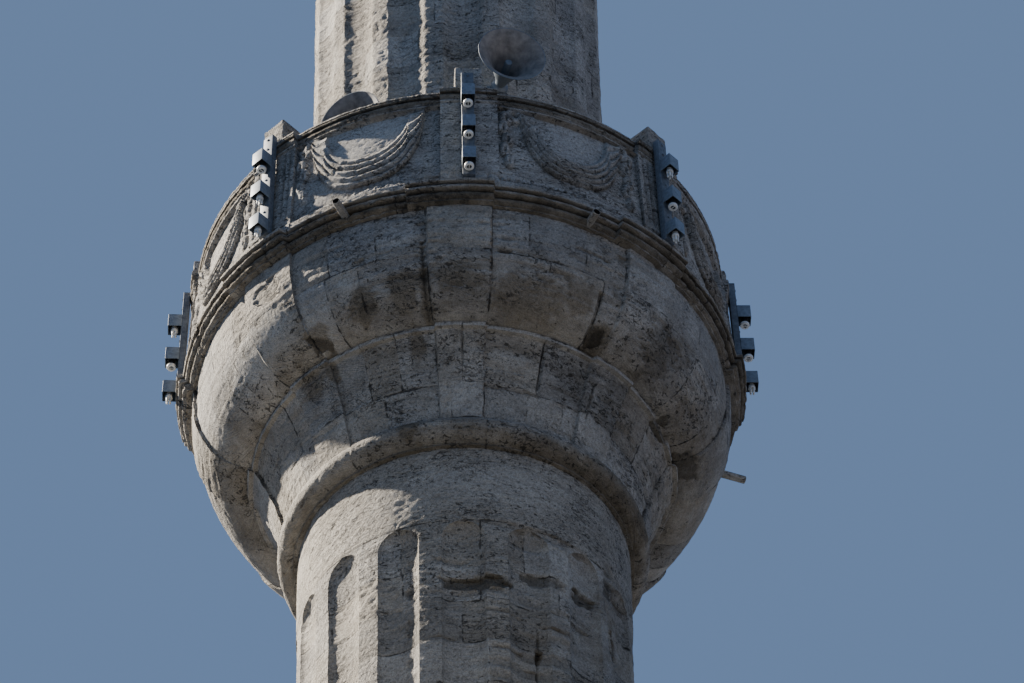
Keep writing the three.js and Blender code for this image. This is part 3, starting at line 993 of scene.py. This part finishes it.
HORN_LINE = [
    (0, -0.43), (0.054, -0.43), (0.062, -0.422), (0.062, -0.353), (0.056, -0.345), (0.04, -0.335),
    (0.048, -0.3), (0.062, -0.262), (0.08, -0.23), (0.098, -0.188), (0.118, -0.15), (0.14, -0.113),
    (0.165, -0.08), (0.19, -0.05), (0.215, -0.025), (0.236, -0.01), (0.254, -0.003), (0.26, 0.002),
    (0.26, 0.007), (0.254, 0.007), (0.234, -0.005), (0.212, -0.019), (0.187, -0.044), (0.161, -0.074),
    (0.136, -0.108), (0.113, -0.146), (0.093, -0.184), (0.075, -0.226), (0.056, -0.262), (0.042, -0.292),
    (0.03, -0.292), (0.03, -0.1), (0.026, -0.088), (0.018, -0.084), (0, -0.082),
]
HORN_DROOP = 8
HORNS = (("horn_right", 15, 6.8), ("horn_left", -30, 6.24))
HORN_STAND = 1.6
DRIVER_BACK = 0.39


def horns(enamel, steel, dusty):
    clamp_line = [(0.038, -0.365), (0.067, -0.365), (0.067, -0.395), (0.038, -0.395)]
    bolt_line = [(0, 0.018), (0.01, 0.018), (0.013, 0.014), (0.013, 0), (0, 0)]
    for name, azimuth, level in HORNS:
        bell = turned(HORN_LINE, 96)
        inside = [face for face in bell.faces if face.normal.xy.dot(face.calc_center_median().xy) < 0]
        aim = rotation(azimuth)
        aim_bell = aim @ shift(0, -HORN_STAND, level) @ rotation(90 + HORN_DROOP, "X")
        bm = bmesh.new()
        add(bm, bell, aim_bell, lining=inside, lining_index=2)
        driver = level + DRIVER_BACK * sin(radians(HORN_DROOP))
        add(bm, box((-0.035, -1.245, driver - 0.04), (0.035, -1.1, driver + 0.04), 0.004), aim, 1)
        add(bm, box((-0.075, -1.155, driver - 0.085), (0.075, -1.08, driver + 0.085), 0.005), aim, 1)
        for side, rise in product((-0.055, 0.055), (-0.06, 0.06)):
            add(bm, turned(bolt_line, 8), aim @ shift(side, -1.15, driver + rise) @ TO_FRONT, 1)
        add(bm, turned(clamp_line, 32), aim_bell, 1)
        fitting(bm, f"{name}_bell", [enamel, steel, dusty], [name], 30)


# Materials

def node(tree, kind, inputs=(), take=0, stops=(), **settings):
    """Adds a node with its settings, a ramp's stops, and its inputs' values or links
    in order or by name. Gives the output that take names, or all of them for None."""
    made = tree.nodes.new("ShaderNode" + kind)
    for name, value in settings.items():
        setattr(made, name, value)
    for name, value in inputs.items() if isinstance(inputs, dict) else enumerate(inputs):
        if isinstance(value, bpy.types.NodeSocket):
            tree.links.new(value, made.inputs[name])
        else:
            made.inputs[name].default_value = value
    if stops:
        ramp = made.color_ramp
        while len(ramp.elements) < len(stops):
            ramp.elements.new(0.5)
        for element, (position, colour) in zip(ramp.elements, stops):
            element.position = position
            element.color = linear(colour)
    return made.outputs[take] if take is not None and len(made.outputs) else made.outputs


def material(name):
    """A new material, and node() for its tree"""
    made = bpy.data.materials.new(name)
    made.use_nodes = True
    made.node_tree.nodes.clear()
    return made, partial(node, made.node_tree)


SOFT = {"interpolation_type": "SMOOTHSTEP"}
TIMES = {"operation": "MULTIPLY"}
TIMES_PLUS = {"operation": "MULTIPLY_ADD"}


def weathered_limestone(name, joints=True):
    """Limestone ashlar, dressed with a point and left out for centuries. It is matt
    and light grey where rain washes it, olive brown and then black where rain never
    comes. Some blocks are smooth and some full of holes, with fine beds and tool
    marks that lean another way on each block, and open, chipped joints."""
    made, put = material(name)
    place = put("TexCoord", take="Object")
    normal = put("NewGeometry", take="Normal")
    facing = put("SeparateXYZ", [normal], "Z")
    stain = put("Attribute", take="Fac", attribute_name="stain")
    pale = put("Attribute", take="Fac", attribute_name="pale")
    wear_and_groove_shade = put("Attribute", take="Fac", attribute_name="wear_and_groove_shade")

    # Vector, scale, detail, roughness and distortion of each noise
    flat = put("Mapping", {"Vector": place, "Scale": (1, 1, 1.7)})
    noises = (
        (place, 2.5, 7, 0.64, 0.4),  # clouds 0.4 m across
        (place, 1.4, 2, 0.5, 0),  # how the beds drift up and down
        (place, 3.2, 4, 0.6, 0),  # where holes crowd
        (flat, 27, 3, 0.58, 1.1),  # holes of 8 to 25 mm
        (flat, 8, 4, 0.62, 1.3),  # worm-like cracks
        (place, 48, 4, 0.62, 0),  # chips of 20 mm
        (place, 150, 3, 0.6, 0),  # grain of 7 mm: the real one is under 1 mm, too fine to show
        (place, 6.5, 9, 0.7, 0.6),  # crust
    )
    names = ("Vector", "Scale", "Detail", "Roughness", "Distortion")
    cloud, drift, patchy, holes, threads, chips, grain, mould = [
        put("TexNoise", dict(zip(names, values))) for values in noises
    ]

    # Each block has its own tone, warmth and coarseness
    masonry = put("UVMap", uv_map="masonry")
    size = put("UVMap", uv_map="block_size")
    cell = put("VectorMath", [masonry], operation="FLOOR")
    of_block = put("TexWhiteNoise", {"Vector": cell}, "Color", noise_dimensions="3D")
    lightness, warmth, coarseness = put("SeparateColor", {0: of_block}, None)
    coarse = put("MapRange", (coarseness, 0.25, 0.9, 0.15, 1.0), **SOFT)
    calm = put("Math", (pale, -0.75, 1.0), **TIMES_PLUS)
    coarse = put("Math", (coarse, calm), **TIMES)

    colour = put("ValToRGB", [cloud], stops=[
        (0.3, "#a29d95"), (0.45, "#b8b3ab"), (0.58, "#cac5bc"), (0.74, "#dcd6cc")])
    light = put("MapRange", (lightness, 0, 1, 0.78, 1.11))
    colour = put("VectorMath", {0: colour, "Scale": light}, operation="SCALE")
    tint = put("Math", (warmth, 0.35), **TIMES)

    # Beds 15 to 60 mm thick
    rise = put("Math", (drift, 0.18), **TIMES)
    sway = put("CombineXYZ", {"Z": rise})
    swayed = put("VectorMath", (place, sway), operation="ADD")
    squeezed = put("Mapping", {"Vector": swayed, "Scale": (1.8, 1.8, 24)})
    layer = put("TexNoise", dict(zip(names, (squeezed, 1, 8, 0.68, 0.3))))
    layered = put("MapRange", (layer, 0.47, 0.6), **SOFT)
    layered = put("Math", (layered, coarse), **TIMES)
    layered = put("Math", (layered, 0.4), **TIMES)

    # Holes, crowded on some blocks, and cracks
    crowd = put("Math", (patchy, 0.16, -0.02), **TIMES_PLUS)
    crowd = put("Math", (coarse, 0.095, crowd), **TIMES_PLUS)
    crowded = put("Math", (holes, crowd), operation="ADD")
    pit = put("MapRange", (crowded, 0.735, 0.775), **SOFT)
    thread = put("Math", (threads, 0.5), operation="SUBTRACT")
    thread = put("Math", [thread], operation="ABSOLUTE")
    thread = put("MapRange", (thread, 0.004, 0.014, 1.0, 0.0), **SOFT)
    torn = put("MapRange", (patchy, 0.52, 0.62), **SOFT)
    thread = put("Math", (thread, torn), **TIMES)
    hollow = put("Math", (pit, thread), operation="MAXIMUM")

    # Marks of the mason's point, 15 by 60 mm, that lean another way on each block
    face = put("VectorMath", (masonry, size), **TIMES)
    lean = put("MapRange", (warmth, 0, 1, 0.25, 0.95))
    leaning = put("VectorRotate", {"Vector": face, "Angle": lean}, rotation_type="Z_AXIS")
    drawn = put("Mapping", {"Vector": leaning, "Scale": (52, 17, 1)})
    strokes = put("TexNoise", dict(zip(names, (drawn, 1, 3, 0.55, 0.5))))

    # Brown and then black crust: painted places, undersides, and its own cloud, with the wear and the
    # grooves' painted shade adding to it
    sheltered = put("MapRange", (facing, -0.05, -0.85, 0.0, 0.42), **SOFT)
    dirt = put("Math", (stain, sheltered), operation="ADD")
    for cause, share in ((mould, 1.5), (wear_and_groove_shade, 0.14), (chips, 1.1)):
        dirt = put("Math", (cause, share, dirt), **TIMES_PLUS)
    brown = put("MapRange", (dirt, 1.42, 2.28, 0.0, 0.72), **SOFT)
    black = put("Math", (sheltered, -0.6, dirt), **TIMES_PLUS)
    black = put("MapRange", (black, 2.2, 2.85, 0.0, 0.72), **SOFT)

    # Lime and washed faces; the pale attribute also holds a few painted patches of sunlight
    washed = put("MapRange", (facing, 0.25, 0.8, 0.0, 0.3), **SOFT)
    lime = put("Math", (pale, washed), operation="ADD")
    cloudy = put("MapRange", (mould, 0.3, 0.55, 0.0, 0.6), **SOFT)
    lime = put("Math", (lime, cloudy), **TIMES)

    # What lies on the clean stone, one over the other
    soot = put("ValToRGB", [chips], stops=[(0.35, "#26231f"), (0.52, "#3f3a32"), (0.7, "#6a604f")])
    speckle = put("ValToRGB", [chips], stops=[(0.34, "#8f8d89"), (0.46, "#dfdeda"), (0.62, "#ffffff")])
    grains = put("ValToRGB", [grain], stops=[(0.38, "#b9b6b2"), (0.6, "#ffffff")])
    # Painted shade: the deeper the wear and the grooves' painted shade, the darker
    recess_shade = put("MapRange", (wear_and_groove_shade, 0.3, 1.6, 0.0, 0.75), **SOFT)
    open_holes = put("Math", (hollow, 0.8), **TIMES)
    over = [
        ("MIX", tint, linear("#aa9c83")), ("MIX", layered, linear("#7d776c")),
        ("MIX", lime, linear("#cdcac3")), ("MULTIPLY", brown, linear("#aea18b")), ("MIX", black, soot),
        ("MULTIPLY", 0.6, speckle), ("MULTIPLY", 0.7, grains), ("MULTIPLY", recess_shade, linear("#8a8680")),
        ("MIX", open_holes, linear("#35322e")),
    ]

    # Height in metres
    layer_rise = put("Math", (calm, -0.018), **TIMES)
    stroke_rise = put("Math", (calm, 0.0165), **TIMES)
    heights = [
        (grain, 0.0022), (chips, 0.008), (layer, layer_rise), (mould, 0.013), (strokes, stroke_rise),
        (hollow, -0.0085),
    ]

    if joints:
        # Open joints up to 14 mm wide, chipped, here open and there closed
        along, upwards, _ = put("SeparateXYZ", [masonry], None)
        width, course, _ = put("SeparateXYZ", [size], None)
        along = put("Math", (along, 0.5), operation="PINGPONG")
        upwards = put("Math", (upwards, 0.5), operation="PINGPONG")
        along = put("Math", (along, width), **TIMES)
        upwards = put("Math", (upwards, course), **TIMES)
        nearest = put("Math", (along, upwards), operation="MINIMUM")
        wander = put("TexNoise", {"Vector": place, "Scale": 15, "Detail": 6, "Roughness": 0.66})
        nearest = put("Math", (wander, 0.046, nearest), **TIMES_PLUS)
        opened = put("TexNoise", {"Vector": place, "Scale": 4.5, "Detail": 3})
        reach = put("MapRange", (opened, 0.36, 0.64, 0.018, 0.027), **SOFT)
        edge = put("Math", (nearest, reach), operation="SUBTRACT")
        gap = put("MapRange", (edge, -0.002, 0.003, 1.0, 0.0), **SOFT)
        share = put("MapRange", (opened, 0.4, 0.62, 0.22, 0.78), **SOFT)
        share = put("Math", (gap, share), **TIMES)
        over.append(("MIX", share, linear("#2a2724")))
        heights.append((gap, -0.012))

    for blend, share, top in over:
        colour = put("Mix", {0: share, 6: colour, 7: top}, 2, data_type="RGBA", blend_type=blend)
    height = 0.0
    for source, rise in heights:
        height = put("Math", (source, rise, height), **TIMES_PLUS)
    bump = put("Bump", {"Height": height, "Strength": 1.0, "Distance": 1.0})
    surface = put("BsdfPrincipled", {
        "Base Color": colour, "Roughness": 0.92, "IOR": 1.45, "Specular IOR Level": 0.25, "Normal": bump})
    put("OutputMaterial", {"Surface": surface})
    return made


def coated(name, dark, pale, roughness, metallic=0.0, coat=0.0, size=0.03, rise=0.0006, even=0.35):
    """A painted or plastic finish: its cloudy colour, fine unevenness and gloss"""
    made, put = material(name)
    place = put("TexCoord", take="Object")
    cloud = put("TexNoise", {"Vector": place, "Scale": 1 / size, "Detail": 6, "Roughness": 0.62})
    colour = put("ValToRGB", [cloud], stops=[(even, dark), (1 - even, pale)])
    height = put("Math", (cloud, rise), **TIMES)
    bump = put("Bump", {"Height": height, "Strength": 1.0, "Distance": 1.0})
    surface = put("BsdfPrincipled", {
        "Base Color": colour, "Roughness": roughness, "Metallic": metallic, "Coat Weight": coat,
        "Normal": bump})
    put("OutputMaterial", {"Surface": surface})
    return made


# Camera, light and floor

PHOTO_WIDTH = 1024
FOCAL_PIXELS = 6200
CAMERA_RISE = 49
CAMERA_DISTANCE = 46.3
AIM_LEVEL = 5.3
AXIS_PIXEL = 460.5
CAMERA_ROLL = -0.8
SENSOR = 36

# Azimuth, rise, strength, apparent width and colour
SUN = (-105.1, 44.3, 18, 1.5, "#fff6e8")
# Soft warm light from below, thrown back at the shaded side
BOUNCE = (75, -28, 0.38, 70, "#ffe6cc")
BACKDROP = {"Color": linear("#96b8ee"), "Strength": 0.46}
FLOOR_R = 7


def make_camera():
    camera = in_scene("camera", bpy.data.cameras.new("camera"))
    camera.data.sensor_width = SENSOR
    camera.data.lens = SENSOR * FOCAL_PIXELS / PHOTO_WIDTH
    camera.data.clip_end = 500
    rise = radians(CAMERA_RISE)
    stand = Vector((0, -CAMERA_DISTANCE * cos(rise), AIM_LEVEL - CAMERA_DISTANCE * sin(rise)))
    to_side = atan((PHOTO_WIDTH / 2 - AXIS_PIXEL) / FOCAL_PIXELS)
    turn = (
        Matrix.Rotation(radians(90) + rise, 4, "X")
        @ Matrix.Rotation(-to_side, 4, "Y")
        @ Matrix.Rotation(radians(CAMERA_ROLL), 4, "Z")
    )
    camera.matrix_world = Matrix.Translation(stand) @ turn
    bpy.context.scene.camera = camera


def far_light(name, azimuth, rise, strength, width, colour):
    lamp = bpy.data.lights.new(name, "SUN")
    lamp.energy = strength
    lamp.angle = radians(width)
    lamp.color = linear(colour)[:3]
    made = in_scene(name, lamp)
    towards = at(azimuth, cos(radians(rise)), sin(radians(rise)))
    made.rotation_mode = "QUATERNION"
    made.rotation_quaternion = towards.to_track_quat("Z", "Y")


def make_light():
    far_light("key", *SUN)
    far_light("bounce", *BOUNCE)
    world = bpy.data.worlds.new("studio")
    world.use_nodes = True
    tree = world.node_tree
    tree.nodes.clear()
    node(tree, "OutputWorld", {"Surface": node(tree, "Background", BACKDROP)})
    bpy.context.scene.world = world


def make_floor():
    """A pale disc that only its upper side shows, because the camera looks up past it"""
    bm = bmesh.new()
    bmesh.ops.create_circle(bm, cap_ends=True, segments=96, radius=FLOOR_R)
    floor = in_scene("floor", mesh_of(bm, "floor"))
    made, put = material("matt_floor_paint")
    top = put("BsdfDiffuse", {"Color": linear("#606264")})
    clear = put("BsdfTransparent")
    back = put("NewGeometry", take="Backfacing")
    mix = put("MixShader", (back, top, clear))
    put("OutputMaterial", {"Surface": mix})
    floor.data.materials.append(made)


make_camera()
make_light()
make_floor()

ashlar = weathered_limestone("limestone_ashlar_weathered")
carved = weathered_limestone("limestone_carved_weathered", joints=False)
# Steel sheet with a satin blue-grey stoving paint: dull sheen, faint chalky clouds
steel_sheet = coated("steel_sheet_stoved_grey", "#626b74", "#7f8992", 0.5, metallic=0.1)
# Square steel tube with the same paint, made darker than the hoods as painted shade
steel_bar_shaded = coated("steel_tube_stoved_grey_shaded", "#4c5157", "#6d7379", 0.6, metallic=0.1)
# Inside of the drain spouts: black slime and soot, and painted shade of the bore, matt
bore_soot_and_shade = coated("drain_soot_and_bore_shade_black", "#0e0d0c", "#1b1917", 0.85)
# Spun aluminium horn, sprayed grey: satin, a little darker where dust sits
horn_enamel = coated("aluminium_spun_sprayed_grey", "#5c646b", "#747d84", 0.45, metallic=0.2, size=0.09)
# The inside of the horn, under years of dust: the same grey, browner and matt
horn_dust = coated("aluminium_spun_dusty", "#66635f", "#8b8680", 0.75, size=0.06)
# Galvanised steel bracket: mottled dull zinc
zinc = coated(
    "steel_bracket_galvanised", "#62676b", "#8a8f92", 0.5, metallic=0.5, size=0.012, even=0.38)
# Moulded white plastic and frosted tube glass: smooth, dusty
lamp_white = coated("lamp_white_moulded", "#c2c0b8", "#e4e2da", 0.35, coat=0.2, rise=0.0002)
# Black moulded lamp holder, black as painted shade of the hood's inside: matt
holder_black_hood_shade = coated("lamp_holder_black_painted_shade", "#141416", "#202022", 0.6, rise=0.0002)

lower_shaft(ashlar)
ring_moulding(ashlar)
bowl(ashlar)
gallery_floor(ashlar)
drain_spouts(carved, bore_soot_and_shade)
parapet_panels(carved)
parapet_posts(carved)
upper_shaft(ashlar)
lamp_racks(steel_sheet, steel_bar_shaded, lamp_white, holder_black_hood_shade)
horns(horn_enamel, zinc, horn_dust)
